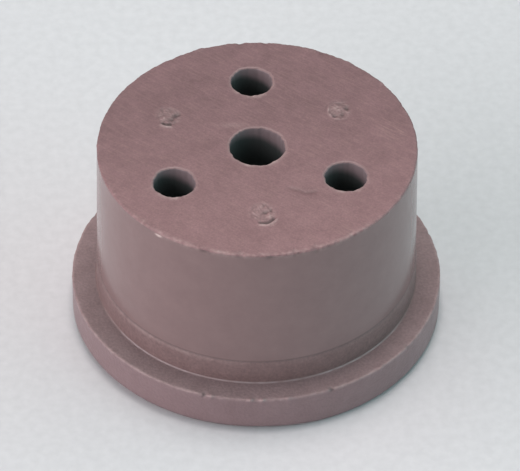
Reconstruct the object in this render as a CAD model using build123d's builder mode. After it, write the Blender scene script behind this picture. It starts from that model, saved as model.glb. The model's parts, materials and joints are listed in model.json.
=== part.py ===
"""Flanged rubber stopper with a centre bore and a ring of tube bores, in millimetres.

The stopper is one moulding. A slightly tapered plug stands on a round flange, and every bore runs
right through both. The foot of the plug is a short band that stands a little proud of the wall,
where the two halves of the mould met. Midway between the tube bores lie the marks of the torn gates.
The origin is the centre of the flange's base, and +Z runs up the plug to its end face.
"""

import os

from build123d import *

# Plug: the tapered length that goes into the neck
plug_length = 12.3  # from the flange's seat to the plug's end face
plug_end_diameter = 23.1
plug_foot_diameter = 23.4
end_rim_radius = 0.14

# Foot band: the lowest stretch of the plug, from the flange's half of the mould
band_height = 2.0
band_step = 0.06  # how far the band stands proud of the wall above it
foot_radius = 0.1  # rounding in the corner between the band and the seat

# Flange: its upper face is the seat on the neck's rim
flange_diameter = 27.1
flange_thickness = 3.0
seat_edge_radius = 0.12
base_edge_radius = 0.4

# Bores: the lips are rounded at both ends
centre_bore_diameter = 4.0
tube_bore_diameter = 3.0
tube_bore_count = 3
bore_circle_diameter = 14.2
first_bore_angle = 90
bore_lip_radius = 0.12

# Gate marks: a shallow pit around the stump of each gate, on the bores' circle
gate_pit_diameter = 1.9
gate_pit_depth = 0.14
gate_stump_diameter = 1.0
gate_stump_height = 0.1

total_height = flange_thickness + plug_length
band_top = flange_thickness + band_height
flange_radius = flange_diameter / 2
plug_foot_radius = plug_foot_diameter / 2
plug_end_radius = plug_end_diameter / 2
band_radius = plug_foot_radius + band_step
bore_circle_radius = bore_circle_diameter / 2
first_gate_angle = first_bore_angle + 180 / tube_bore_count
end_plane = Plane.XY.offset(total_height)
pit_floor_plane = Plane.XY.offset(total_height - gate_pit_depth)

with BuildPart() as stopper:
    # Half section, turned about the axis
    with BuildSketch(Plane.XZ):
        with BuildLine():
            Polyline(
                (0, 0),
                (flange_radius, 0),
                (flange_radius, flange_thickness),
                (band_radius, flange_thickness),
                (band_radius, band_top),
                (plug_foot_radius, band_top),
                (plug_end_radius, total_height),
                (0, total_height),
                close=True,
            )
        make_face()
    revolve(axis=Axis.Z)

    # Rounded edges, from the base up
    rings = stopper.edges().filter_by(GeomType.CIRCLE)
    base_ring = rings.group_by(Axis.Z)[0]
    seat_rings = rings.filter_by_position(Axis.Z, flange_thickness, flange_thickness).sort_by(SortBy.RADIUS)
    end_ring = rings.group_by(Axis.Z)[-1]
    fillet(base_ring, radius=base_edge_radius)
    fillet(seat_rings[-1], radius=seat_edge_radius)
    fillet(seat_rings[0], radius=foot_radius)
    fillet(end_ring, radius=end_rim_radius)

    # Centre bore and tube bores, right through, with rounded lips
    with Locations(end_plane):
        Hole(radius=centre_bore_diameter / 2)
        with PolarLocations(bore_circle_radius, tube_bore_count, start_angle=first_bore_angle):
            Hole(radius=tube_bore_diameter / 2)
    end_face = stopper.faces().sort_by(Axis.Z)[-1]
    base_face = stopper.faces().sort_by(Axis.Z)[0]
    bore_lips = end_face.inner_wires().edges() + base_face.inner_wires().edges()
    fillet(bore_lips, radius=bore_lip_radius)

    # Gate marks in the end face
    with BuildSketch(end_plane):
        with PolarLocations(bore_circle_radius, tube_bore_count, start_angle=first_gate_angle):
            Circle(gate_pit_diameter / 2)
    extrude(amount=-gate_pit_depth, mode=Mode.SUBTRACT)
    with BuildSketch(pit_floor_plane):
        with PolarLocations(bore_circle_radius, tube_bore_count, start_angle=first_gate_angle):
            Circle(gate_stump_diameter / 2)
    extrude(amount=gate_stump_height)

stopper.part.label = "stopper"
os.makedirs("parts", exist_ok=True)
export_step(stopper.part, "parts/stopper.step")
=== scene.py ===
"""Looks of the flanged rubber stopper: one detailed moulding, its finishes, floor, camera and light.

Lengths are in metres, in the part's own frame: the origin is the centre of the flange's base and +Z runs
up the axis to the plug's end face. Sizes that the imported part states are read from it.
"""

import json
import math

import bmesh
import bpy
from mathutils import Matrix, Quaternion, Vector, noise


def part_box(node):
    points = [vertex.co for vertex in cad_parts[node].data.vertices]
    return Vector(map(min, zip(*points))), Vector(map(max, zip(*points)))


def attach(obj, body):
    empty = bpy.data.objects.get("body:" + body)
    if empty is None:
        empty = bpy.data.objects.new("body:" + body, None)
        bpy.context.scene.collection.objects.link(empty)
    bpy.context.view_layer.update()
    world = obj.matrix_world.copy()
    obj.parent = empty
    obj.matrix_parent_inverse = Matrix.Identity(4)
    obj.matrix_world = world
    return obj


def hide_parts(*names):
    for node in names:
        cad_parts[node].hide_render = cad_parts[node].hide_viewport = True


MM = 0.001

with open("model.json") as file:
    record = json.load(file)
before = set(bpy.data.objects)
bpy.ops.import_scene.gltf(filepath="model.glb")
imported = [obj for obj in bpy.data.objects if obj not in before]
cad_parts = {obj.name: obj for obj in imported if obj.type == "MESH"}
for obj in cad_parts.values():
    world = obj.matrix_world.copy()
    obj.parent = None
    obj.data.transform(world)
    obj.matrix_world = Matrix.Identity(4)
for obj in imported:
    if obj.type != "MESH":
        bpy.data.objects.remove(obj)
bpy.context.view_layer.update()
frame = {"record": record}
mounts = {mount["name"]: mount for mount in frame["record"]["mounts"]}
_, end_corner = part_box("stopper")

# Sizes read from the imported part
FLANGE_RADIUS = end_corner.x
HEIGHT = end_corner.z
SEAT_Z = mounts["flange_seat"]["pos_m"][2]
CENTRE_BORE = mounts["centre_bore"]
TUBE_BORES = [mount for name, mount in mounts.items() if name.startswith("tube_bore")]
BORES = [CENTRE_BORE, *TUBE_BORES]
GATE_CIRCLE_RADIUS = mounts["tube_bore_1"]["pos_m"][1]

# Section sizes, as in the solid
PLUG_END_RADIUS = 11.55 * MM
PLUG_FOOT_RADIUS = 11.7 * MM
BAND_STEP = 0.06 * MM
BAND_RADIUS = PLUG_FOOT_RADIUS + BAND_STEP
BAND_TOP_Z = SEAT_Z + 2.0 * MM
END_RIM_RADIUS = 0.14 * MM
FOOT_RADIUS = 0.1 * MM
SEAT_EDGE_RADIUS = 0.12 * MM
BASE_EDGE_RADIUS = 0.4 * MM

# The band's top is a short slope, with a line of painted shade in the corner above it
LEDGE_HEIGHT = 0.12 * MM
LEDGE_SHADE_HEIGHT = 0.12 * MM

# Points closer than this count as one
TOUCH = 0.001 * MM

# Mesh density: steps round the axis and round a bore, and the ring spacing on the end face
BODY_STEPS = 360
BORE_STEPS = 128
END_RING_SPACING = 0.3 * MM

# Faces that meet at less than this are shaded as one smooth surface
SMOOTH_ANGLE = math.radians(40)

# How far the worn zones reach from the plug's rim and from the flange's upper edge
RIM_REACH = 0.45 * MM
EDGE_REACH = 0.4 * MM

# A bore's lip: its rounding, how far the shallow trimmed ring round it reaches from the bore's wall, that
# ring's depth at the lip, and how far from the wall the lip's zone reaches, in which the face carries a
# painted highlight
LIP_RADIUS = 0.08 * MM
LIP_RING = 0.17 * MM
LIP_RING_DEPTH = 0.02 * MM
LIP_REACH = 0.36 * MM

# How ragged the lips are, how far down the bore that reaches, and the seeds of their lumps
LIP_RAGGED = 0.13 * MM
LIP_RAGGED_REACH = 0.8 * MM
CENTRE_LIP_SEED = 3
TUBE_LIP_SEEDS = (40, 50, 60)

# The tube bores' cutters: how far they pass the faces, how far they flare at the lip,
# and their rounding there
CUT_OVERRUN = 0.1 * MM
CUT_FLARE = 0.75 * LIP_RADIUS
CUT_ROUNDING = 0.6 * LIP_RADIUS

# Torn gates on the end face: their angles, the radius inside which the face is divided finely,
# how wide they are for their length, and the seeds of their lumps
GATE_ANGLES = [math.radians(angle) for angle in (150, 30, 270)]
GATE_REACH = 1.4 * MM
GATE_WIDTH = 0.88
GATE_SEEDS = (11, 23, 37)

# Radii in mm inside which a gate is rough throughout and outside which it is smooth, and how far it is sunk
GATE_ROUGH = 0.8
GATE_SMOOTH = 1.05
GATE_SUNK = 0.015

# Arc-shaped tears of each gate, and ridges, whose depth is negative: from and to in degrees, radius,
# half width and depth in mm
GATE_ARCS = [
    [(-134, -82, 0.84, 0.14, 0.17), (100, 190, 0.98, 0.1, 0.02)],
    [(150, 320, 0.86, 0.12, -0.04), (55, 180, 1.08, 0.08, 0.012)],
    [(-112, -30, 1.0, 0.13, 0.16), (60, 215, 0.95, 0.11, 0.018)],
]

# How the arcs are torn: the shares of their half angle at which they start to fade and have gone,
# how far they wander for their half width, the size and seed of that wander, and the lip thrown up
# beside them, whose place and height are for their half width and depth
ARC_FULL = 0.7
ARC_GONE = 1.15
ARC_WANDER = 0.5
ARC_WANDER_SIZE = 0.5 * MM
ARC_WANDER_SEED = 3
ARC_LIP_PLACE = 1.9
ARC_LIP_HEIGHT = 0.3

# Pits torn inside each gate, in mm: place from its centre, half length, half width, turn in degrees, depth
GATE_PITS = [
    [
        (0.16, -0.3, 0.18, 0.15, 0, 0.11), (0.54, 0.12, 0.28, 0.18, 20, 0.12),
        (-0.48, 0.66, 0.2, 0.1, 80, 0.06),
    ],
    [
        (-0.36, -0.56, 0.19, 0.14, 40, 0.11), (0.24, -0.42, 0.17, 0.13, 70, 0.09),
        (0.6, 0.22, 0.2, 0.14, 90, 0.1), (0.14, 0.86, 0.45, 0.09, 0, 0.05),
    ],
    [(0.14, 0.06, 0.24, 0.15, 20, 0.13), (0.58, 0.26, 0.22, 0.12, 75, 0.05)],
]

# A shallow crease on the end face: its corners in mm, half width and depth, and how far from its line
# the face is divided finely
CREASE = [(2.19, -4.63), (2.8, -4.89), (3.2, -5.16), (3.87, -5.05)]
CREASE_HALF_WIDTH = 0.17 * MM
CREASE_DEPTH = 0.05 * MM
CREASE_REACH = 3 * CREASE_HALF_WIDTH

# Patches of the end face that are scored more deeply: place and radius in mm, the share of that radius
# with the full depth, and the share of that depth with which the face is scored elsewhere
SCORED_PATCHES = [(9.7, 1.4, 2.2), (5.7, -9.0, 1.4)]
SCORED_FULL = 0.2
SCORED_ELSEWHERE = 0.4

# A pale smear on the end face by the centre bore: place, half length and half width in mm
SMEAR = (-1.6, 2.4, 0.9, 0.25)

# Nicks and lumps, which are negative, in the plug's rim and in the flange's upper edge:
# angle in degrees, half width and depth in mm
RIM_NICKS = [
    (261, 0.2, 0.06), (280, 0.2, 0.07), (288, 0.2, 0.07), (302.5, 0.2, 0.05),
    (120, 0.2, 0.05), (108, 0.25, -0.06), (97, 0.2, -0.05), (93, 0.2, 0.06),
    (84, 0.2, 0.05), (62, 0.2, 0.05), (20, 0.2, 0.04), (180, 0.2, 0.04),
]
FLANGE_NICKS = [
    (250.6, 0.16, 0.11), (252.8, 0.18, -0.13), (264.7, 0.2, -0.13), (268.5, 0.2, -0.13),
    (276.3, 0.2, -0.11), (290.4, 0.19, 0.13), (308, 0.22, -0.1), (321, 0.2, 0.07),
    (216.3, 0.2, -0.07), (150, 0.25, 0.07), (75, 0.25, 0.08), (15, 0.25, 0.07),
]

# Pits in the wall just under the rim: angle in degrees, then in mm the distance down, half length,
# half height and depth
RIM_PITS = [
    (247.7, 0.2, 0.3, 0.1, 0.09), (271.3, 0.22, 0.3, 0.12, 0.1), (281.2, 0.12, 0.12, 0.1, 0.07),
]

# Pale spots in the wall just under the rim: angle in degrees, then in mm the distance down, half length and
# half height, and how pale they are
RIM_PALE_SPOTS = [(229.5, 0.26, 0.24, 0.08, 3.0), (221.5, 0.06, 0.14, 0.1, 0.3)]

# The stretch of the rim at the front, painted pale as a highlight over light wear: its middle and half width
# in degrees
RIM_FRONT_MIDDLE = 267
RIM_FRONT_HALF_WIDTH = 56

# The stretch where the corner at the plug's foot carries a painted highlight and is glossier, likewise
FOOT_HIGHLIGHT_MIDDLE = 266
FOOT_HIGHLIGHT_HALF_WIDTH = 75

# The stretch where the slope at the band's top is painted pale as a highlight, likewise
BAND_HIGHLIGHT_MIDDLE = 231
BAND_HIGHLIGHT_HALF_WIDTH = 30

# The stretch where the flange's lower edge is rubbed rounder, likewise, its rounding there,
# and how far the loops that border the rounding lie from the sharp edge
RUBBED_BASE_MIDDLE = 236
RUBBED_BASE_HALF_WIDTH = 52
RUBBED_BASE_RADIUS = 0.62 * MM
BASE_EDGE_REACH = 1.0 * MM

# The share of a stretch's half width that has its full effect
STRETCH_FULL = 0.6

# Lumps of the worn places: rows of a height, a size in mm and a seed. The heights are in mm,
# but for the lips they are shares of their raggedness
LIP_LUMPS = [(0.5, 0.8, 0), (0.5, 0.3, 1)]
GATE_LUMPS = [(0.045, 0.42, 0), (0.04, 0.17, 7)]
RIM_LUMPS = [(0.02, 1.3, 1), (0.035, 0.5, 2), (0.03, 0.22, 5)]
EDGE_LUMPS = [(0.035, 1.1, 8), (0.035, 0.4, 9), (0.02, 0.2, 19)]

# Patches in which wear, soil and painted highlights come and go: a middle level, and rows of a strength, a
# size in mm and a seed
RIM_PATCHES = (0.4, [(0.6, 0.7, 4), (0.6, 0.25, 14)])
RIM_SPOTS = (-0.3, [(-1.0, 0.3, 12)])
EDGE_PATCHES = (0.5, [(0.5, 0.9, 6), (0.4, 0.3, 16)])
LIP_PATCHES = (0.6, [(0.9, 0.5, 51)])
BAND_PATCHES = (0.6, [(0.5, 1.2, 26), (0.6, 0.4, 27)])
FOOT_PATCHES = (0.75, [(0.7, 0.6, 31)])

# How strongly each place is painted pale and dark. Pale paint is wear on the gates, the smear and the rim
# all round, and a painted highlight on the gates' ridges, the rim's front, the flange's edge, the lips'
# front sides and the band's top slope; dark paint is soil in the rim's spots, and painted shade in the
# gates' pits, the crease, the rim's nicks and pits, the flange's nicks and the corner above the band
GATE_WORN = 0.14
GATE_RIDGE_HIGHLIGHT = 0.6
GATE_PIT_SHADE = 0.75
SMEAR_WORN = 0.18
CREASE_SHADE = 0.2
RIM_WORN = 0.07
RIM_FRONT_HIGHLIGHT = 0.36
RIM_NICK_SHADE = 0.2
RIM_SPOT_SOILED = 0.5
RIM_PIT_SHADE = 0.4
EDGE_HIGHLIGHT = 0.42
EDGE_LUMP_HIGHLIGHT = 0.15
EDGE_NICK_SHADE = 0.5
LIP_FRONT_HIGHLIGHT = 0.55
BAND_SLOPE_HIGHLIGHT = 0.3
BAND_CORNER_SHADE = 0.35

# Where that paint is full and where it ends: distances from the plug's rim and from the flange's edge,
# a gate's radius, the height of a gate's ridge, and the depths of a gate's pit and of a nick
RIM_WORN_FULL = 0.6 * END_RIM_RADIUS
EDGE_HIGHLIGHT_FULL = 0.6 * SEAT_EDGE_RADIUS
EDGE_HIGHLIGHT_END = 2 * SEAT_EDGE_RADIUS
GATE_WORN_END = 1.15 * MM
GATE_RIDGE_HEIGHT = 0.05 * MM
GATE_PIT_DEPTH = 0.14 * MM
NICK_DEPTH = 0.1 * MM


# Modelling helpers

def edit(piece):
    """Makes a piece the active one, alone in the selection, in edit mode."""
    bpy.ops.object.select_all(action="DESELECT")
    bpy.context.view_layer.objects.active = piece
    piece.select_set(True)
    bpy.ops.object.mode_set(mode="EDIT")


def select(piece, kind, test):
    """Selects the vertices, edges or faces whose middle passes the test."""
    modes = {"verts": "VERT", "edges": "EDGE", "faces": "FACE"}
    bpy.ops.mesh.select_mode(type=modes[kind])
    bpy.ops.mesh.select_all(action="DESELECT")
    mesh = bmesh.from_edit_mesh(piece.data)
    for element in getattr(mesh, kind):
        corners = [element] if kind == "verts" else element.verts
        middle = sum((corner.co for corner in corners), Vector()) / len(corners)
        element.select_set(test(middle))
    mesh.select_flush_mode()
    bmesh.update_edit_mesh(piece.data)


def near(place):
    """A test for points that lie at one place."""
    return lambda point: (point - place).length < TOUCH


def turned(name, outline, steps):
    """Turns an outline about the Z axis.

    Each outline row is a corner's radius and height, its rounding, the arc's steps, and the cuts in the
    run that leads on from it. The mesh is closed where the outline starts and ends in one place or on
    the axis.
    """
    places = [Vector((radius, 0, height)) for radius, height, *_ in outline]
    bpy.ops.object.select_all(action="DESELECT")
    bpy.ops.mesh.primitive_plane_add(size=MM)
    piece = bpy.context.object
    piece.name = name
    edit(piece)
    bpy.ops.mesh.select_mode(type="VERT")
    bpy.ops.mesh.select_all(action="SELECT")
    bpy.ops.mesh.merge(type="CENTER")
    bpy.ops.transform.translate(value=places[0])
    for start, end in zip(places, places[1:]):
        bpy.ops.mesh.extrude_region_move(TRANSFORM_OT_translate={"value": end - start})
    for (_, _, _, _, cuts), start, end in zip(outline, places, places[1:]):
        if cuts:
            select(piece, "edges", near((start + end) / 2))
            bpy.ops.mesh.subdivide(number_cuts=cuts)
    for (_, _, rounding, arc_steps, _), place in zip(outline, places):
        if rounding:
            select(piece, "verts", near(place))
            bpy.ops.mesh.bevel(offset=rounding, segments=arc_steps, affect="VERTICES")
    bpy.ops.mesh.select_all(action="SELECT")
    bpy.ops.mesh.spin(steps=steps, angle=math.tau, center=(0, 0, 0), axis=(0, 0, 1))
    bpy.ops.mesh.select_all(action="SELECT")
    bpy.ops.mesh.remove_doubles(threshold=TOUCH)
    bpy.ops.mesh.normals_make_consistent(inside=False)
    bpy.ops.object.mode_set(mode="OBJECT")
    return piece


def cut_away(piece, cutter):
    """Takes a cutter's volume out of a piece and removes the cutter."""
    bpy.ops.object.select_all(action="DESELECT")
    bpy.context.view_layer.objects.active = piece
    piece.select_set(True)
    boolean = piece.modifiers.new("cut", "BOOLEAN")
    boolean.operation = "DIFFERENCE"
    boolean.solver = "MANIFOLD"
    boolean.object = cutter
    bpy.ops.object.modifier_apply(modifier=boolean.name)
    bpy.data.objects.remove(cutter)


def fade(value, full, none):
    """1 up to full, falling smoothly to 0 at none."""
    share = min(max((none - value) / (none - full), 0), 1)
    return share * share * (3 - 2 * share)


def lumps(point, size, seed):
    """Smooth noise between -1 and 1, with lumps of one size."""
    return noise.noise(point / size + Vector((seed, 2 * seed, 3 * seed)))


def lumpy(point, rows, seed=0):
    """Lumps of several sizes, added up."""
    return sum(height * lumps(point, size * MM, seed + own_seed) for height, size, own_seed in rows)


def patchy(point, patches):
    """How strong wear or soil is at a point, in patches round a middle level, and never below 0."""
    level, rows = patches
    return max(level + lumpy(point, rows), 0)


def turn_between(angle, degrees):
    """How far an angle lies from one given in degrees, in radians either way."""
    return (angle - math.radians(degrees) + math.pi) % math.tau - math.pi


def stretch(angle, middle, half_width):
    """1 along the middle of a stretch of the circumference given in degrees, falling to 0 at its ends."""
    return fade(math.degrees(abs(turn_between(angle, middle))), STRETCH_FULL * half_width, half_width)


# Places on the moulding

def on_end_face(point):
    """Whether a point lies on the plug's end face."""
    return point.z > HEIGHT - TOUCH


def corner_distance(point, radius, height):
    """How far a point lies from a circle about the axis, such as a sharp edge before it is rounded."""
    return math.hypot(math.hypot(point.x, point.y) - radius, point.z - height)


def rim_distance(point):
    """How far a point lies from the plug's sharp rim."""
    return corner_distance(point, PLUG_END_RADIUS, HEIGHT)


def edge_distance(point):
    """How far a point lies from the flange's sharp upper edge."""
    return corner_distance(point, FLANGE_RADIUS, SEAT_Z)


def on_base_rounding(point):
    """Whether a point lies on the rounding of the flange's lower edge."""
    inner = FLANGE_RADIUS - BASE_EDGE_RADIUS
    return point.z < BASE_EDGE_RADIUS + TOUCH and math.hypot(point.x, point.y) > inner - TOUCH


def bore_distance(point):
    """How far a point lies outside the nearest bore's wall, negative inside it."""
    return min(
        math.hypot(point.x - bore["pos_m"][0], point.y - bore["pos_m"][1]) - bore["dims"]["r_mm"] * MM
        for bore in BORES)


def bore_direction(point):
    """The direction in which a point lies from the nearest bore's axis."""
    offsets = [Vector((point.x - bore["pos_m"][0], point.y - bore["pos_m"][1])) for bore in BORES]
    return min(offsets, key=lambda offset: offset.length).normalized()


def face_depth(point):
    """How far a point lies inside the nearer of the two end faces."""
    return min(point.z, HEIGHT - point.z)


def gate_centres():
    """The middles of the torn gates on the end face."""
    return [Vector((math.cos(angle), math.sin(angle), 0)) * GATE_CIRCLE_RADIUS + Vector((0, 0, HEIGHT))
            for angle in GATE_ANGLES]


def crease_distance(point):
    """How far a point of the end face lies from the crease's line."""
    corners = [Vector((x * MM, y * MM, HEIGHT)) for x, y in CREASE]
    nearest = HEIGHT
    for start, end in zip(corners, corners[1:]):
        run = end - start
        along = min(max((point - start).dot(run) / run.length_squared, 0), 1)
        nearest = min(nearest, (point - start - run * along).length)
    return nearest


# The moulding

def turn_body():
    """The stopper turned with its centre bore, from half-way up that bore round the outside and back."""
    bore_radius = CENTRE_BORE["dims"]["r_mm"] * MM
    taper = (PLUG_FOOT_RADIUS - PLUG_END_RADIUS) / (HEIGHT - BAND_TOP_Z)
    inner_rim = PLUG_END_RADIUS - RIM_REACH
    end_cuts = int((inner_rim - bore_radius) / END_RING_SPACING)
    ledge_top = BAND_TOP_Z + LEDGE_HEIGHT / 2
    outline = [
        (bore_radius, HEIGHT / 2, 0, 0, 4),
        (bore_radius, LIP_REACH, 0, 0, 0),
        (bore_radius, LIP_RING_DEPTH, LIP_RADIUS, 4, 0),
        (bore_radius + LIP_RING, 0, 0, 0, 0),
        (bore_radius + LIP_REACH, 0, 0, 0, 8),
        (FLANGE_RADIUS - BASE_EDGE_REACH, 0, 0, 0, 0),
        (FLANGE_RADIUS, 0, BASE_EDGE_RADIUS, 6, 0),
        (FLANGE_RADIUS, BASE_EDGE_REACH, 0, 0, 0),
        (FLANGE_RADIUS, SEAT_Z - EDGE_REACH, 0, 0, 0),
        (FLANGE_RADIUS, SEAT_Z, SEAT_EDGE_RADIUS, 4, 0),
        (FLANGE_RADIUS - EDGE_REACH, SEAT_Z, 0, 0, 2),
        (BAND_RADIUS + 2 * FOOT_RADIUS, SEAT_Z, 0, 0, 0),
        (BAND_RADIUS, SEAT_Z, FOOT_RADIUS, 5, 0),
        (BAND_RADIUS, SEAT_Z + 2 * FOOT_RADIUS, 0, 0, 4),
        (BAND_RADIUS, BAND_TOP_Z - LEDGE_HEIGHT / 2, 0, 0, 0),
        (PLUG_FOOT_RADIUS, ledge_top, 0, 0, 0),
        (PLUG_FOOT_RADIUS - taper * LEDGE_SHADE_HEIGHT, ledge_top + LEDGE_SHADE_HEIGHT, 0, 0, 12),
        (PLUG_END_RADIUS + taper * RIM_REACH, HEIGHT - RIM_REACH, 0, 0, 0),
        (PLUG_END_RADIUS, HEIGHT, END_RIM_RADIUS, 4, 0),
        (inner_rim, HEIGHT, 0, 0, end_cuts),
        (bore_radius + LIP_REACH, HEIGHT, 0, 0, 0),
        (bore_radius + LIP_RING, HEIGHT, 0, 0, 0),
        (bore_radius, HEIGHT - LIP_RING_DEPTH, LIP_RADIUS, 4, 0),
        (bore_radius, HEIGHT - LIP_REACH, 0, 0, 4),
        (bore_radius, HEIGHT / 2, 0, 0, 0),
    ]
    return turned("stopper_moulding", outline, BODY_STEPS)


def lip_stray(offset, radius, depth, seed):
    """How far a bore's lip strays outwards, at an offset from the bore's axis and a depth from the face."""
    side = Vector((offset.x, offset.y, 0)).normalized() * radius
    return LIP_RAGGED * lumpy(side, LIP_LUMPS, seed) * fade(depth, 0, LIP_RAGGED_REACH)


def bore_cutter(bore, seed):
    """A tube bore's volume, flared at both ends to leave a ragged lip with a shallow ring round it."""
    radius = bore["dims"]["r_mm"] * MM
    lip_edge = radius + CUT_FLARE
    ring_edge = radius + 2 * LIP_RING - CUT_FLARE
    outline = [
        (0, -CUT_OVERRUN, 0, 0, 0),
        (ring_edge, -CUT_OVERRUN, 0, 0, 0),
        (ring_edge, -LIP_RING_DEPTH, 0, 0, 0),
        (lip_edge, LIP_RING_DEPTH, 0, 0, 0),
        (radius, LIP_RADIUS, CUT_ROUNDING, 3, 6),
        (radius, HEIGHT - LIP_RADIUS, CUT_ROUNDING, 3, 0),
        (lip_edge, HEIGHT - LIP_RING_DEPTH, 0, 0, 0),
        (ring_edge, HEIGHT + LIP_RING_DEPTH, 0, 0, 0),
        (ring_edge, HEIGHT + CUT_OVERRUN, 0, 0, 0),
        (0, HEIGHT + CUT_OVERRUN, 0, 0, 0),
    ]
    cutter = turned("bore_cutter", outline, BORE_STEPS)
    for vertex in cutter.data.vertices:
        outward = Vector((vertex.co.x, vertex.co.y, 0)).normalized()
        vertex.co += outward * lip_stray(vertex.co, radius, face_depth(vertex.co), seed)
    edit(cutter)
    bpy.ops.mesh.select_all(action="SELECT")
    x, y, _ = bore["pos_m"]
    bpy.ops.transform.translate(value=(x, y, 0))
    bpy.ops.object.mode_set(mode="OBJECT")
    return cutter


def divide_worn_zones(piece):
    """Divides the mesh finely where it is torn, creased or worn: a test for each zone, and its cuts."""
    centres = gate_centres()
    zones = [
        (lambda point: on_end_face(point)
         and min((point - centre).length for centre in centres) < GATE_REACH, 3),
        (lambda point: on_end_face(point) and crease_distance(point) < CREASE_REACH, 2),
        (lambda point: rim_distance(point) < RIM_REACH, 2),
        (lambda point: edge_distance(point) < EDGE_REACH, 2),
    ]
    edit(piece)
    for test, cuts in zones:
        select(piece, "faces", test)
        bpy.ops.mesh.subdivide(number_cuts=cuts)
    bpy.ops.object.mode_set(mode="OBJECT")


# Wear and painted light: each zone's function gives how far a point moves, and how strongly it is painted
# pale and dark there; by zone, the pale paint is wear or a painted highlight, and the dark paint is soil or
# painted shade

def gate_reach(point, centre):
    """How far a point lies from a gate's middle, measured so that the oval gate counts as a circle."""
    offset = point - centre
    return math.hypot(offset.x / GATE_WIDTH, offset.y)


def gate_relief(point, centre, arcs, pits, seed):
    """Height of a torn gate's surface at a point, in metres."""
    offset = (point - centre) / MM
    reach = gate_reach(point, centre) / MM
    angle = math.atan2(offset.y, offset.x)
    height = fade(reach, GATE_ROUGH, GATE_SMOOTH) * (lumpy(point, GATE_LUMPS, seed) - GATE_SUNK)
    for start, end, radius, half_width, depth in arcs:
        half_angle = math.radians(end - start) / 2
        turn = abs(turn_between(angle, (start + end) / 2))
        along = fade(turn, ARC_FULL * half_angle, ARC_GONE * half_angle)
        wander = ARC_WANDER * half_width * lumps(point, ARC_WANDER_SIZE, seed + ARC_WANDER_SEED)
        across = (reach - radius + wander) / half_width
        height -= along * depth * math.exp(-across * across)
        lip = across - ARC_LIP_PLACE
        height += ARC_LIP_HEIGHT * along * depth * math.exp(-lip * lip)
    for x, y, half_length, half_width, turn, depth in pits:
        turn = math.radians(turn)
        dx = offset.x - x
        dy = offset.y - y
        u = (dx * math.cos(turn) + dy * math.sin(turn)) / half_length
        v = (dy * math.cos(turn) - dx * math.sin(turn)) / half_width
        height -= depth * math.exp(-u * u - v * v)
    return height * MM


def end_face_wear(point):
    """The end face: torn gates, with painted highlights on their ridges and painted shade in their pits, a
    crease with painted shade along it, and a pale smear.
    """
    height = 0
    worn = 0
    soiled = 0
    for centre, arcs, pits, seed in zip(gate_centres(), GATE_ARCS, GATE_PITS, GATE_SEEDS):
        reach = gate_reach(point, centre)
        if reach < GATE_REACH:
            height = gate_relief(point, centre, arcs, pits, seed)
            worn = GATE_WORN * fade(reach, GATE_ROUGH * MM, GATE_WORN_END)
            # A painted highlight on the gate's raised ridges, and painted shade in its sunken pits
            worn += GATE_RIDGE_HIGHLIGHT * min(max(height / GATE_RIDGE_HEIGHT, 0), 1)
            soiled = GATE_PIT_SHADE * min(max(-height / GATE_PIT_DEPTH, 0), 1)
    # The crease is pressed in and painted dark along its line as shade
    crease = math.exp(-(crease_distance(point) / CREASE_HALF_WIDTH) ** 2)
    x, y, half_length, half_width = SMEAR
    smear = math.exp(-((point.x / MM - x) / half_length) ** 2 - ((point.y / MM - y) / half_width) ** 2)
    shift = Vector((0, 0, height - CREASE_DEPTH * crease))
    return shift, max(worn, SMEAR_WORN * smear), max(soiled, CREASE_SHADE * crease)


def nick_depth(angle, radius, nicks):
    """How deep an edge is nicked at an angle."""
    depth = 0
    for degrees, half_width, nick in nicks:
        across = turn_between(angle, degrees) * radius / (half_width * MM)
        depth += nick * MM * math.exp(-across * across)
    return depth


def wall_mark(point, angle, degrees, below, half_length, half_height):
    """How far a point is inside a mark on the wall under the rim, 1 at its middle."""
    across = turn_between(angle, degrees) * PLUG_END_RADIUS / (half_length * MM)
    down = (HEIGHT - point.z - below * MM) / (half_height * MM)
    return math.exp(-across * across - down * down)


def rim_wear(point):
    """The plug's rim: bumpy, nicked and faintly worn all round, with painted shade in the nicks and in the
    pits under it, a painted highlight and spots of soil along the front, and pale spots under it.
    """
    distance = rim_distance(point)
    angle = math.atan2(point.y, point.x)
    radial = Vector((math.cos(angle), math.sin(angle), 0))
    nick = nick_depth(angle, PLUG_END_RADIUS, RIM_NICKS)
    rise = fade(distance, END_RIM_RADIUS, RIM_REACH) * (lumpy(point, RIM_LUMPS) * MM - nick)
    shift = (radial + Vector((0, 0, 1))).normalized() * rise
    # Along the front stretch the rim is painted pale as a highlight, over light wear, and takes spots of
    # soil
    local_share = stretch(angle, RIM_FRONT_MIDDLE, RIM_FRONT_HALF_WIDTH)
    worn = fade(distance, RIM_WORN_FULL, RIM_REACH) * patchy(point, RIM_PATCHES)
    worn *= RIM_WORN + RIM_FRONT_HIGHLIGHT * local_share
    soiled = max(
        RIM_NICK_SHADE * max(nick, 0) / NICK_DEPTH,
        RIM_SPOT_SOILED * local_share * patchy(point, RIM_SPOTS))
    # The pits under the rim are pressed in and painted dark as shade
    for *pit, depth in RIM_PITS:
        mark = wall_mark(point, angle, *pit)
        shift -= radial * mark * depth * MM
        soiled = max(soiled, RIM_PIT_SHADE * mark)
    for *pale_spot, paleness in RIM_PALE_SPOTS:
        worn = max(worn, paleness * wall_mark(point, angle, *pale_spot))
    return shift, worn, soiled


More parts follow.
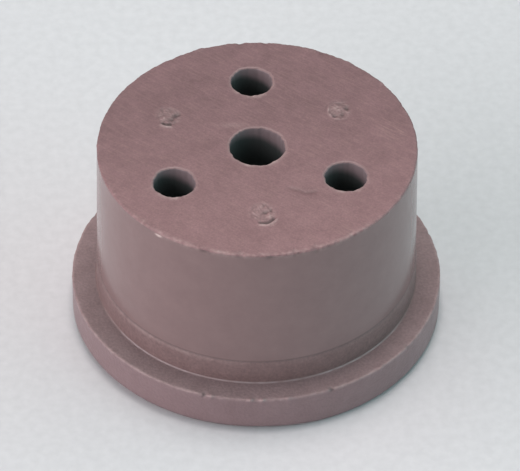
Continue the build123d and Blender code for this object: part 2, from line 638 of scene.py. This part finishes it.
def flange_edge_wear(point):
    """The flange's upper edge: small nicks and lumps, with painted shade in the nicks, and a painted
    highlight as a thin pale line along it, paler on the lumps.
    """
    distance = edge_distance(point)
    angle = math.atan2(point.y, point.x)
    nick = nick_depth(angle, FLANGE_RADIUS, FLANGE_NICKS)
    rise = fade(distance, SEAT_EDGE_RADIUS, EDGE_REACH) * (lumpy(point, EDGE_LUMPS) * MM - nick)
    shift = Vector((math.cos(angle), math.sin(angle), 1)).normalized() * rise
    along_edge = fade(distance, EDGE_HIGHLIGHT_FULL, EDGE_HIGHLIGHT_END)
    # The pale line along the edge is a painted highlight, paler on the lumps, and the nicks are painted dark
    # as shade
    local_share = EDGE_HIGHLIGHT * patchy(point, EDGE_PATCHES) + EDGE_LUMP_HIGHLIGHT * max(-nick, 0) / NICK_DEPTH
    soiled = EDGE_NICK_SHADE * max(nick, 0) / NICK_DEPTH
    return shift, along_edge * local_share, along_edge * soiled


def base_edge_wear(point):
    """The flange's lower edge, rubbed rounder along a stretch at the left front."""
    angle = math.atan2(point.y, point.x)
    reach = math.hypot(point.x, point.y)
    local_share = stretch(angle, RUBBED_BASE_MIDDLE, RUBBED_BASE_HALF_WIDTH)
    rounding = BASE_EDGE_RADIUS + (RUBBED_BASE_RADIUS - BASE_EDGE_RADIUS) * local_share
    bend = math.atan2(reach - FLANGE_RADIUS + BASE_EDGE_RADIUS, BASE_EDGE_RADIUS - point.z)
    inward = FLANGE_RADIUS - rounding * (1 - math.sin(bend)) - reach
    upward = rounding * (1 - math.cos(bend)) - point.z
    return Vector((math.cos(angle) * inward, math.sin(angle) * inward, upward)), 0, 0


def centre_lip_wear(point):
    """The centre bore's ragged lips."""
    radius = CENTRE_BORE["dims"]["r_mm"] * MM
    stray = lip_stray(point, radius, face_depth(point), CENTRE_LIP_SEED)
    outward = Vector((point.x, point.y, 0)).normalized()
    return outward * stray * fade(math.hypot(point.x, point.y) - radius, LIP_RADIUS, LIP_REACH), 0, 0


def lip_wear(point):
    """The bores' lips, painted paler as a highlight in places on the side towards the front."""
    # The near side of each lip is painted pale as a highlight
    front = max(-bore_direction(point).y, 0)
    by_lip = fade(bore_distance(point), LIP_RING, LIP_REACH)
    return Vector(), LIP_FRONT_HIGHLIGHT * front * patchy(point, LIP_PATCHES) * by_lip, 0


def band_top_painted_light(point):
    """The corner above the band, painted dark in a thin line as shade, and the slope under it, painted pale
    as a highlight.
    """
    corner = BAND_TOP_Z + LEDGE_HEIGHT / 2
    local_share = stretch(math.atan2(point.y, point.x), BAND_HIGHLIGHT_MIDDLE, BAND_HIGHLIGHT_HALF_WIDTH)
    on_slope = fade(abs(point.z - corner + LEDGE_HEIGHT), 0, LEDGE_HEIGHT / 2)
    in_corner = fade(abs(point.z - corner), 0, LEDGE_SHADE_HEIGHT)
    return Vector(), BAND_SLOPE_HIGHLIGHT * local_share * patchy(point, BAND_PATCHES) * on_slope, BAND_CORNER_SHADE * in_corner


def foot_shine(point):
    """How strongly the corner at the plug's foot is painted pale as a highlight and made glossier, unevenly
    along its front and not elsewhere.
    """
    clean = stretch(math.atan2(point.y, point.x), FOOT_HIGHLIGHT_MIDDLE, FOOT_HIGHLIGHT_HALF_WIDTH)
    return clean * min(patchy(point, FOOT_PATCHES), 1)


def scoring(point):
    """How deeply the end face is scored at a point."""
    scored = SCORED_ELSEWHERE
    for x, y, radius in SCORED_PATCHES:
        middle = Vector((x * MM, y * MM, HEIGHT))
        scored = max(scored, fade((point - middle).length, SCORED_FULL * radius * MM, radius * MM))
    return scored


def roughen(piece):
    """Tears the gates, presses the crease and wears the edges, and paints what the finishes read: wear,
    soil, painted highlights and painted shade.
    """
    mesh = piece.data
    centre_reach = CENTRE_BORE["dims"]["r_mm"] * MM + LIP_REACH
    zones = [
        (end_face_wear, on_end_face),
        (rim_wear, lambda point: rim_distance(point) < RIM_REACH),
        (flange_edge_wear, lambda point: edge_distance(point) < EDGE_REACH),
        (base_edge_wear, on_base_rounding),
        (centre_lip_wear, lambda point: math.hypot(point.x, point.y) < centre_reach),
        (lip_wear, lambda point: face_depth(point) < LIP_RADIUS and bore_distance(point) < LIP_REACH),
        (band_top_painted_light, lambda point: abs(point.z - BAND_TOP_Z) < LEDGE_HEIGHT + LEDGE_SHADE_HEIGHT),
    ]
    paint = {"worn": [], "soiled": [], "scored": [], "bore_side": [], "foot_shine": []}
    for vertex in mesh.vertices:
        point = vertex.co.copy()
        worn = 0
        soiled = 0
        for wear, test in zones:
            if test(point):
                shift, zone_wear_and_highlight, zone_soil_and_shade = wear(point)
                vertex.co += shift
                worn = max(worn, zone_wear_and_highlight)
                soiled = max(soiled, zone_soil_and_shade)
        paint["worn"].append(worn)
        paint["soiled"].append(soiled)
        paint["scored"].append(scoring(point))
        paint["bore_side"].append(bore_direction(point).x)
        paint["foot_shine"].append(foot_shine(point))
    for name, values in paint.items():
        layer = mesh.attributes.new(name, "FLOAT", "POINT")
        layer.data.foreach_set("value", values)


# Materials

def linear(hex_colour):
    """An sRGB hex colour as a linear colour with full alpha."""
    parts = [int(hex_colour[i:i + 2], 16) / 255 for i in (1, 3, 5)]
    return [part / 12.92 if part <= 0.04045 else ((part + 0.055) / 1.055) ** 2.4 for part in parts] + [1.0]


def add(tree, kind, inputs=None, **settings):
    """Adds a node with its settings, and sets or links its inputs by name or number.

    A Mix node of colours takes its share at 0 and its two colours at 6 and 7, and gives a colour at 2.
    """
    made = tree.nodes.new(kind)
    for name, value in settings.items():
        setattr(made, name, value)
    for name, value in (inputs or {}).items():
        if isinstance(value, bpy.types.NodeSocket):
            tree.links.new(value, made.inputs[name])
        else:
            made.inputs[name].default_value = value
    return made


def new_material(name):
    """An empty material with a shader joined to its output, and the place on the piece."""
    material = bpy.data.materials.new(name)
    material.use_nodes = True
    tree = material.node_tree
    tree.nodes.clear()
    shader = add(tree, "ShaderNodeBsdfPrincipled")
    add(tree, "ShaderNodeOutputMaterial", {"Surface": shader.outputs["BSDF"]})
    place = add(tree, "ShaderNodeTexCoord").outputs["Object"]
    return material, tree, shader, place


# Rubber colours: each finish has a paler and a darker tone, mixed by the mottle
END_TONES = ("#7e5f63", "#6e5255")
END_FRONT_TONES = ("#8d6b6e", "#7d5d60")
END_SCRATCH = "#957674"
WALL_TONES = ("#856d6d", "#7f6767")
BAND_TONES = ("#856d6d", "#796161")
SEAT_TONES = ("#8b7678", "#7d686a")
SIDE_TONES = ("#8a7275", "#826a6d")
# The foot's pale tones are a painted highlight along the corner at the plug's foot
FOOT_HIGHLIGHT_TONES = ("#a08e90", "#948284")
LIP_TONES = ("#8c7172", "#7e6466")
BORE_TONES = ("#908084", "#86767a")
# Painted shade deep inside the bores
BORE_SHADE = "#525656"
# Pale paint, for wear and for painted highlights, and dark paint, for soil and for painted shade
RUBBER_WEAR_AND_HIGHLIGHT = "#d9c3bf"
RUBBER_SOIL_AND_SHADE = "#3a3132"
RUBBER_IOR = 1.52

# Roughness of the finishes, and how much it varies either way with the mottle
END_ROUGHNESS = 0.55
WALL_ROUGHNESS = 0.22
BAND_ROUGHNESS = 0.6
SEAT_ROUGHNESS = 0.6
SIDE_ROUGHNESS = 0.42
FOOT_ROUGHNESS = 0.33
LIP_ROUGHNESS = 0.5
BORE_ROUGHNESS = 0.4
ROUGHNESS_SPREAD = 0.04

# Pattern sizes in the rubber, and how much the grain and the grit show in its tone. Real grain and grit
# can be finer: they are drawn as coarse as they need to be to show
MOTTLE = 1.6 * MM
FLECK = 0.3 * MM
GRAIN = 0.2 * MM
GRAIN_HEIGHT = 0.04 * MM
COARSE_GRAIN_TONE = 0.16
FINE_GRAIN_TONE = 0.07
GRIT = 0.14 * MM
GRIT_HEIGHT = 0.012 * MM
GRIT_TONE = 0.12
SCORE_SPACING = 0.16 * MM
SCORE_LENGTH = 1.4 * MM
SCORE_DEPTH = 0.025 * MM
SCORE_TURN = math.radians(40)
DRAW_LINE_SPACING = 0.4 * MM
DRAW_LINE_LENGTH = 12 * MM
DRAW_LINE_HEIGHT = 0.004 * MM

# Most values of a noise pattern lie between the first two. The scores' pattern starts to show as pale
# scratches at the third, and shows fully at the fourth
NOISE_LOW = 0.3
NOISE_HIGH = 0.7
SCRATCH_LOW = 0.45
SCRATCH_HIGH = 0.8

# Where the end face turns paler, from its back to its front
END_BACK_Y = 7 * MM
END_FRONT_Y = -11 * MM

# Painted shade inside a bore: depths from the faces at which it starts and at which it is full, how much
# that line wanders, and how much deeper it lies at a bore's right, where light from the left reaches
# further, than at its middle
BORE_SHADE_START = 0.6 * MM
BORE_SHADE_FULL = 1.2 * MM
BORE_SHADE_WANDER = 0.5 * MM
BORE_SHADE_TILT = 0.5 * MM


def pigment(tree, shader, place, tones, roughness):
    """Brown pigment in two mottled tones, with a gloss that varies with the mottle; gives the colour."""
    mottle = add(tree, "ShaderNodeTexNoise", {
        "Vector": place, "Scale": 1 / MOTTLE, "Detail": 7.0, "Roughness": 0.7})
    spread = add(tree, "ShaderNodeMapRange", {
        "Value": mottle.outputs["Fac"], "From Min": NOISE_LOW, "From Max": NOISE_HIGH})
    dulled = add(tree, "ShaderNodeMapRange", {
        "Value": spread.outputs[0],
        "To Min": roughness - ROUGHNESS_SPREAD, "To Max": roughness + ROUGHNESS_SPREAD})
    tree.links.new(dulled.outputs[0], shader.inputs["Roughness"])
    shader.inputs["IOR"].default_value = RUBBER_IOR
    colour = add(tree, "ShaderNodeMix", {
        0: spread.outputs[0], 6: linear(tones[0]), 7: linear(tones[1])}, data_type="RGBA")
    return colour.outputs[2]


def speckle(tree, colour, pattern, strength):
    """Turns a colour a little paler and darker in the specks of a fine pattern; gives the colour."""
    tone = add(tree, "ShaderNodeMapRange", {
        "Value": pattern, "From Min": NOISE_LOW, "From Max": NOISE_HIGH,
        "To Min": 1 - strength, "To Max": 1 + strength})
    specked = add(tree, "ShaderNodeMix", {
        0: 1.0, 6: colour, 7: tone.outputs[0]}, data_type="RGBA", blend_type="MULTIPLY")
    return specked.outputs[2]


def weather_and_painted_light(tree, shader, place, colour):
    """Turns the colour paler in flecks by the pale paint, which is wear in some places and a painted
    highlight in others, and darker by the dark paint, which is soil in some places and painted shade in
    others.
    """
    worn = add(tree, "ShaderNodeAttribute", attribute_name="worn")
    flecks = add(tree, "ShaderNodeTexNoise", {"Vector": place, "Scale": 1 / FLECK, "Detail": 2.0})
    wear = add(tree, "ShaderNodeMath", {
        0: worn.outputs["Fac"], 1: flecks.outputs["Fac"]}, operation="MULTIPLY")
    paler = add(tree, "ShaderNodeMix", {
        0: wear.outputs[0], 6: colour, 7: linear(RUBBER_WEAR_AND_HIGHLIGHT)}, data_type="RGBA")
    soiled = add(tree, "ShaderNodeAttribute", attribute_name="soiled")
    darker = add(tree, "ShaderNodeMix", {
        0: soiled.outputs["Fac"], 6: paler.outputs[2], 7: linear(RUBBER_SOIL_AND_SHADE)}, data_type="RGBA")
    tree.links.new(darker.outputs[2], shader.inputs["Base Color"])


def grained_rubber(name, tones, roughness, grain_tone):
    """Rubber moulded against a blasted mould: a fine even grain that scatters light, without reflections."""
    material, tree, shader, place = new_material(name)
    grain = add(tree, "ShaderNodeTexNoise", {"Vector": place, "Scale": 1 / GRAIN, "Detail": 3.0})
    plain = pigment(tree, shader, place, tones, roughness)
    weather_and_painted_light(tree, shader, place, speckle(tree, plain, grain.outputs["Fac"], grain_tone))
    bump = add(tree, "ShaderNodeBump", {"Height": grain.outputs["Fac"], "Distance": GRAIN_HEIGHT})
    tree.links.new(bump.outputs[0], shader.inputs["Normal"])
    return material


def seat_rubber():
    """Rubber of the flange's seat: grained and matt, with specks that show."""
    return grained_rubber("rubber_grained_seat", SEAT_TONES, SEAT_ROUGHNESS, COARSE_GRAIN_TONE)


def flange_rubber():
    """Rubber of the flange's side and base: a soft sheen, with a grain that hardly shows."""
    return grained_rubber("rubber_satin_flange", SIDE_TONES, SIDE_ROUGHNESS, FINE_GRAIN_TONE)


def band_rubber():
    """Rubber of the band at the plug's foot: grained and matt like the seat, and a little browner."""
    return grained_rubber("rubber_grained_band", BAND_TONES, BAND_ROUGHNESS, COARSE_GRAIN_TONE)


def lip_rubber():
    """Rubber trimmed at the bores' lips: dull, and paler than the end face round it."""
    return grained_rubber("rubber_trimmed_lip", LIP_TONES, LIP_ROUGHNESS, FINE_GRAIN_TONE)


def polished_rubber():
    """Rubber moulded against a polished, turned mould: a satin gloss, with faint draw lines up the wall."""
    material, tree, shader, place = new_material("rubber_polished_wall")
    weather_and_painted_light(tree, shader, place, pigment(tree, shader, place, WALL_TONES, WALL_ROUGHNESS))
    drawn = add(tree, "ShaderNodeMapping", {
        "Vector": place, "Scale": (1 / DRAW_LINE_SPACING, 1 / DRAW_LINE_SPACING, 1 / DRAW_LINE_LENGTH)})
    lines = add(tree, "ShaderNodeTexNoise", {"Vector": drawn.outputs[0], "Scale": 1.0, "Detail": 2.0})
    bump = add(tree, "ShaderNodeBump", {"Height": lines.outputs["Fac"], "Distance": DRAW_LINE_HEIGHT})
    tree.links.new(bump.outputs[0], shader.inputs["Normal"])
    return material


def foot_rubber():
    """Rubber in the corner at the plug's foot: polished and painted pale as a highlight at the front, and
    dull elsewhere.
    """
    material, tree, shader, place = new_material("rubber_polished_foot")
    dull = pigment(tree, shader, place, BAND_TONES, BAND_ROUGHNESS)
    pale = pigment(tree, shader, place, FOOT_HIGHLIGHT_TONES, FOOT_ROUGHNESS)
    highlight = add(tree, "ShaderNodeAttribute", attribute_name="foot_shine")
    gloss = add(tree, "ShaderNodeMapRange", {
        "Value": highlight.outputs["Fac"], "To Min": BAND_ROUGHNESS, "To Max": FOOT_ROUGHNESS})
    tree.links.new(gloss.outputs[0], shader.inputs["Roughness"])
    colour = add(tree, "ShaderNodeMix", {0: highlight.outputs["Fac"], 6: dull, 7: pale}, data_type="RGBA")
    tree.links.new(colour.outputs[2], shader.inputs["Base Color"])
    return material


def ground_rubber():
    """Rubber trimmed and ground flat: matt and gritty, paler to the front, with pale scratches across it."""
    material, tree, shader, place = new_material("rubber_ground_end")
    back = pigment(tree, shader, place, END_TONES, END_ROUGHNESS)
    front = pigment(tree, shader, place, END_FRONT_TONES, END_ROUGHNESS)
    across = add(tree, "ShaderNodeSeparateXYZ", {"Vector": place})
    forward = add(tree, "ShaderNodeMapRange", {
        "Value": across.outputs["Y"], "From Min": END_BACK_Y, "From Max": END_FRONT_Y},
        interpolation_type="SMOOTHSTEP")
    ground = add(tree, "ShaderNodeMix", {0: forward.outputs[0], 6: back, 7: front}, data_type="RGBA")
    along = add(tree, "ShaderNodeMapping", {"Vector": place, "Rotation": (0, 0, SCORE_TURN)})
    drawn = add(tree, "ShaderNodeMapping", {
        "Vector": along.outputs[0], "Scale": (1 / SCORE_LENGTH, 1 / SCORE_SPACING, 1 / SCORE_LENGTH)})
    scores = add(tree, "ShaderNodeTexNoise", {"Vector": drawn.outputs[0], "Scale": 1.0, "Detail": 3.0})
    scored = add(tree, "ShaderNodeAttribute", attribute_name="scored")
    depth = add(tree, "ShaderNodeMath", {
        0: scores.outputs["Fac"], 1: scored.outputs["Fac"]}, operation="MULTIPLY")
    streaks = add(tree, "ShaderNodeMapRange", {
        "Value": scores.outputs["Fac"], "From Min": SCRATCH_LOW, "From Max": SCRATCH_HIGH})
    scratches = add(tree, "ShaderNodeMath", {
        0: streaks.outputs[0], 1: scored.outputs["Fac"]}, operation="MULTIPLY")
    scratched = add(tree, "ShaderNodeMix", {
        0: scratches.outputs[0], 6: ground.outputs[2], 7: linear(END_SCRATCH)}, data_type="RGBA")
    grit = add(tree, "ShaderNodeTexNoise", {"Vector": place, "Scale": 1 / GRIT, "Detail": 3.0})
    weather_and_painted_light(tree, shader, place, speckle(tree, scratched.outputs[2], grit.outputs["Fac"], GRIT_TONE))
    fine = add(tree, "ShaderNodeBump", {"Height": grit.outputs["Fac"], "Distance": GRIT_HEIGHT})
    bump = add(tree, "ShaderNodeBump", {
        "Height": depth.outputs[0], "Distance": SCORE_DEPTH, "Normal": fine.outputs[0]})
    tree.links.new(bump.outputs[0], shader.inputs["Normal"])
    return material


def bored_rubber():
    """Rubber cored out by smooth pins: dull grey-brown by the lips, and painted near black further in as
    shade, which starts deeper at a bore's right.
    """
    material, tree, shader, place = new_material("rubber_bored")
    clean = pigment(tree, shader, place, BORE_TONES, BORE_ROUGHNESS)
    up = add(tree, "ShaderNodeSeparateXYZ", {"Vector": place})
    above = add(tree, "ShaderNodeMath", {0: up.outputs["Z"], 1: HEIGHT / 2}, operation="SUBTRACT")
    from_middle = add(tree, "ShaderNodeMath", {0: above.outputs[0]}, operation="ABSOLUTE")
    patches = add(tree, "ShaderNodeTexNoise", {"Vector": place, "Scale": 1 / MOTTLE, "Detail": 3.0})
    wander = add(tree, "ShaderNodeMath", {
        0: patches.outputs["Fac"], 1: BORE_SHADE_WANDER, 2: from_middle.outputs[0]},
        operation="MULTIPLY_ADD")
    side = add(tree, "ShaderNodeAttribute", attribute_name="bore_side")
    tilted = add(tree, "ShaderNodeMath", {
        0: side.outputs["Fac"], 1: BORE_SHADE_TILT, 2: wander.outputs[0]}, operation="MULTIPLY_ADD")
    middle_wander = BORE_SHADE_WANDER / 2
    # Painted shade, full deep in the bore and gone towards the lips
    soil = add(tree, "ShaderNodeMapRange", {
        "Value": tilted.outputs[0], "From Min": HEIGHT / 2 - BORE_SHADE_FULL + middle_wander,
        "From Max": HEIGHT / 2 - BORE_SHADE_START + middle_wander, "To Min": 1.0, "To Max": 0.0})
    colour = add(tree, "ShaderNodeMix", {
        0: soil.outputs[0], 6: clean, 7: linear(BORE_SHADE)}, data_type="RGBA")
    tree.links.new(colour.outputs[2], shader.inputs["Base Color"])
    return material


def finish_moulding(piece):
    """Gives each zone of the moulding its finish, later zones over earlier ones."""
    wall_foot_z = BAND_TOP_Z + LEDGE_HEIGHT / 2
    lip_end = LIP_RING + LIP_RAGGED
    finishes = [
        (seat_rubber(), lambda point: True),
        (flange_rubber(), lambda point: point.z < SEAT_Z - TOUCH),
        (band_rubber(), lambda point: point.z > SEAT_Z + TOUCH),
        (foot_rubber(), lambda point: corner_distance(point, BAND_RADIUS, SEAT_Z) < FOOT_RADIUS),
        (polished_rubber(), lambda point: point.z > wall_foot_z),
        (ground_rubber(), lambda point: on_end_face(point) or rim_distance(point) < END_RIM_RADIUS),
        (bored_rubber(), lambda point: face_depth(point) > TOUCH and bore_distance(point) < LIP_RAGGED),
        (lip_rubber(),
         lambda point: TOUCH < face_depth(point) < LIP_RADIUS and bore_distance(point) < lip_end),
    ]
    piece.data.materials.clear()
    edit(piece)
    for index, (material, test) in enumerate(finishes):
        piece.data.materials.append(material)
        piece.active_material_index = index
        select(piece, "faces", test)
        bpy.ops.object.material_slot_assign()
    bpy.ops.object.mode_set(mode="OBJECT")
    bpy.ops.object.shade_smooth_by_angle(angle=SMOOTH_ANGLE)


stopper = turn_body()
divide_worn_zones(stopper)
for bore, seed in zip(TUBE_BORES, TUBE_LIP_SEEDS):
    cut_away(stopper, bore_cutter(bore, seed))
finish_moulding(stopper)
roughen(stopper)

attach(stopper, "root")
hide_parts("stopper")


# Floor

FLOOR_TONES = ("#d0d0d4", "#c9c9cd")
FLOOR_MOTTLE = 0.7 * MM
FLOOR_ROUGHNESS = 0.9
FLOOR_SIZE = 2.0


def matt_paper():
    """Plain matt paper: an even pale grey with a faint, soft mottle."""
    material, tree, shader, place = new_material("matt_paper")
    shader.inputs["Roughness"].default_value = FLOOR_ROUGHNESS
    mottle = add(tree, "ShaderNodeTexNoise", {"Vector": place, "Scale": 1 / FLOOR_MOTTLE, "Detail": 4.0})
    spread = add(tree, "ShaderNodeMapRange", {
        "Value": mottle.outputs["Fac"], "From Min": NOISE_LOW, "From Max": NOISE_HIGH})
    colour = add(tree, "ShaderNodeMix", {
        0: spread.outputs[0], 6: linear(FLOOR_TONES[0]), 7: linear(FLOOR_TONES[1])}, data_type="RGBA")
    tree.links.new(colour.outputs[2], shader.inputs["Base Color"])
    return material


bpy.ops.object.select_all(action="DESELECT")
bpy.ops.mesh.primitive_plane_add(size=FLOOR_SIZE)
floor = bpy.context.object
floor.name = "floor"
floor.data.materials.append(matt_paper())


# Camera

CAMERA_ELEVATION = math.radians(42.67)
CAMERA_TURN = math.radians(-3.7)
CAMERA_DISTANCE = 354.7 * MM
CAMERA_ROLL = math.radians(0.508)
AIM_RIGHT = 0.253 * MM
AIM_DOWN = 0.806 * MM
LENS = 336.3
SENSOR_WIDTH = 36

camera_data = bpy.data.cameras.new("camera")
camera = bpy.data.objects.new("camera", camera_data)
bpy.context.scene.collection.objects.link(camera)
bpy.context.scene.camera = camera
camera_data.sensor_width = SENSOR_WIDTH
camera_data.lens = LENS
middle = Vector((0, 0, HEIGHT / 2))
right = Vector((math.cos(CAMERA_TURN), math.sin(CAMERA_TURN), 0))
ahead = Vector((-right.y, right.x, 0))
back = Vector((0, 0, math.sin(CAMERA_ELEVATION))) - ahead * math.cos(CAMERA_ELEVATION)
up = back.cross(right)
camera.location = middle + back * CAMERA_DISTANCE
aim = middle + right * AIM_RIGHT - up * AIM_DOWN
facing = (camera.location - aim).to_track_quat("Z", "Y")
camera.rotation_mode = "QUATERNION"
camera.rotation_quaternion = facing @ Quaternion((0, 0, 1), CAMERA_ROLL)


# Light: a weak cool sky, a warm softbox low at the left front, a weak cool one low at the right,
# a strong one overhead, set back, and two weak ones high at the back

SKY_COLOUR = (0.85, 1.0, 1.0, 1.0)
SKY_STRENGTH = 0.15

# Each softbox: angles round from the camera's right and up in degrees, distance, width and height in metres,
# radiance and colour
SOFTBOXES = [
    ("key_softbox", 206, 24, 0.6, 1.0, 0.5, 2.07, (1.0, 0.93, 0.94)),
    ("fill_softbox", 352, 25, 0.6, 0.8, 0.5, 1.03, (0.61, 0.99, 1.0)),
    ("top_softbox", 86, 82, 0.9, 0.28, 0.28, 13.7, (1.0, 0.915, 0.89)),
    ("back_right_softbox", 50, 58, 0.9, 0.45, 0.45, 1.23, (1.0, 0.89, 0.84)),
    ("back_left_softbox", 130, 58, 0.9, 0.45, 0.45, 0.8, (0.53, 1.0, 0.89)),
]


def softbox(name, azimuth, elevation, distance, width, height, radiance, colour):
    """A flat lamp that faces the stopper. Its power is 4 times its radiance times its area."""
    lamp = bpy.data.lights.new(name, "AREA")
    lamp.shape = "RECTANGLE"
    lamp.size = width
    lamp.size_y = height
    lamp.color = colour
    lamp.energy = 4 * radiance * width * height
    box = bpy.data.objects.new(name, lamp)
    bpy.context.scene.collection.objects.link(box)
    turn = math.radians(azimuth) + CAMERA_TURN
    tilt = math.radians(elevation)
    towards = Vector((math.cos(turn) * math.cos(tilt), math.sin(turn) * math.cos(tilt), math.sin(tilt)))
    box.location = towards * distance
    box.rotation_mode = "QUATERNION"
    box.rotation_quaternion = towards.to_track_quat("Z", "Y")


for row in SOFTBOXES:
    softbox(*row)

world = bpy.data.worlds.new("world")
bpy.context.scene.world = world
world.use_nodes = True
world.node_tree.nodes["Background"].inputs["Color"].default_value = SKY_COLOUR
world.node_tree.nodes["Background"].inputs["Strength"].default_value = SKY_STRENGTH
bpy.context.scene.view_settings.view_transform = "Standard"
